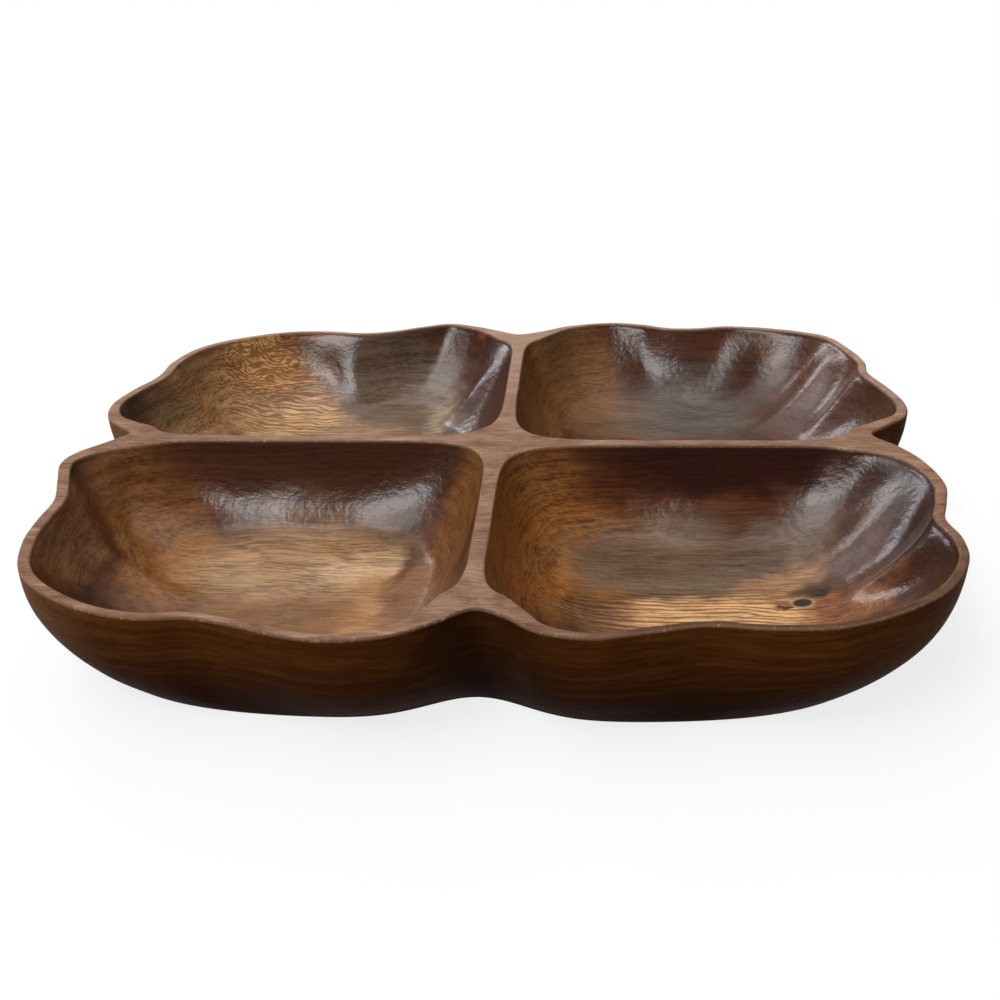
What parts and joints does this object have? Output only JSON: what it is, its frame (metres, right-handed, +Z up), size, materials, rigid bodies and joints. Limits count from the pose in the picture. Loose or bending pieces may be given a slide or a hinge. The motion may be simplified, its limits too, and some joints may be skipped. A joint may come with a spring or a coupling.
{
  "type": "divided serving tray",
  "caption": "Carved wooden serving tray with a scalloped flaring rim and a cross of ribs that divides it into compartments for nuts, dips and snacks.",
  "frame": {"origin": "under the middle of the tray, on the surface that it stands on", "axes": "+X to the right along the grain of the boards, +Y to the back, +Z up"},
  "size_m": [0.4, 0.366, 0.05],
  "materials": {
    "edge_board_wood": "clear gloss lacquer over dark brown heartwood, rim rubbed dull",
    "middle_board_wood": "clear gloss lacquer over streaked golden brown wood, rim rubbed dull",
    "centre_board_wood": "clear gloss lacquer over red-brown heartwood, ribs rubbed dull"
  },
  "bodies": {
    "root": {"front_board": "edge_board_wood", "front_middle_board": "middle_board_wood", "centre_board": "centre_board_wood", "back_middle_board": "middle_board_wood", "back_board": "edge_board_wood"}
  },
  "joints": []
}
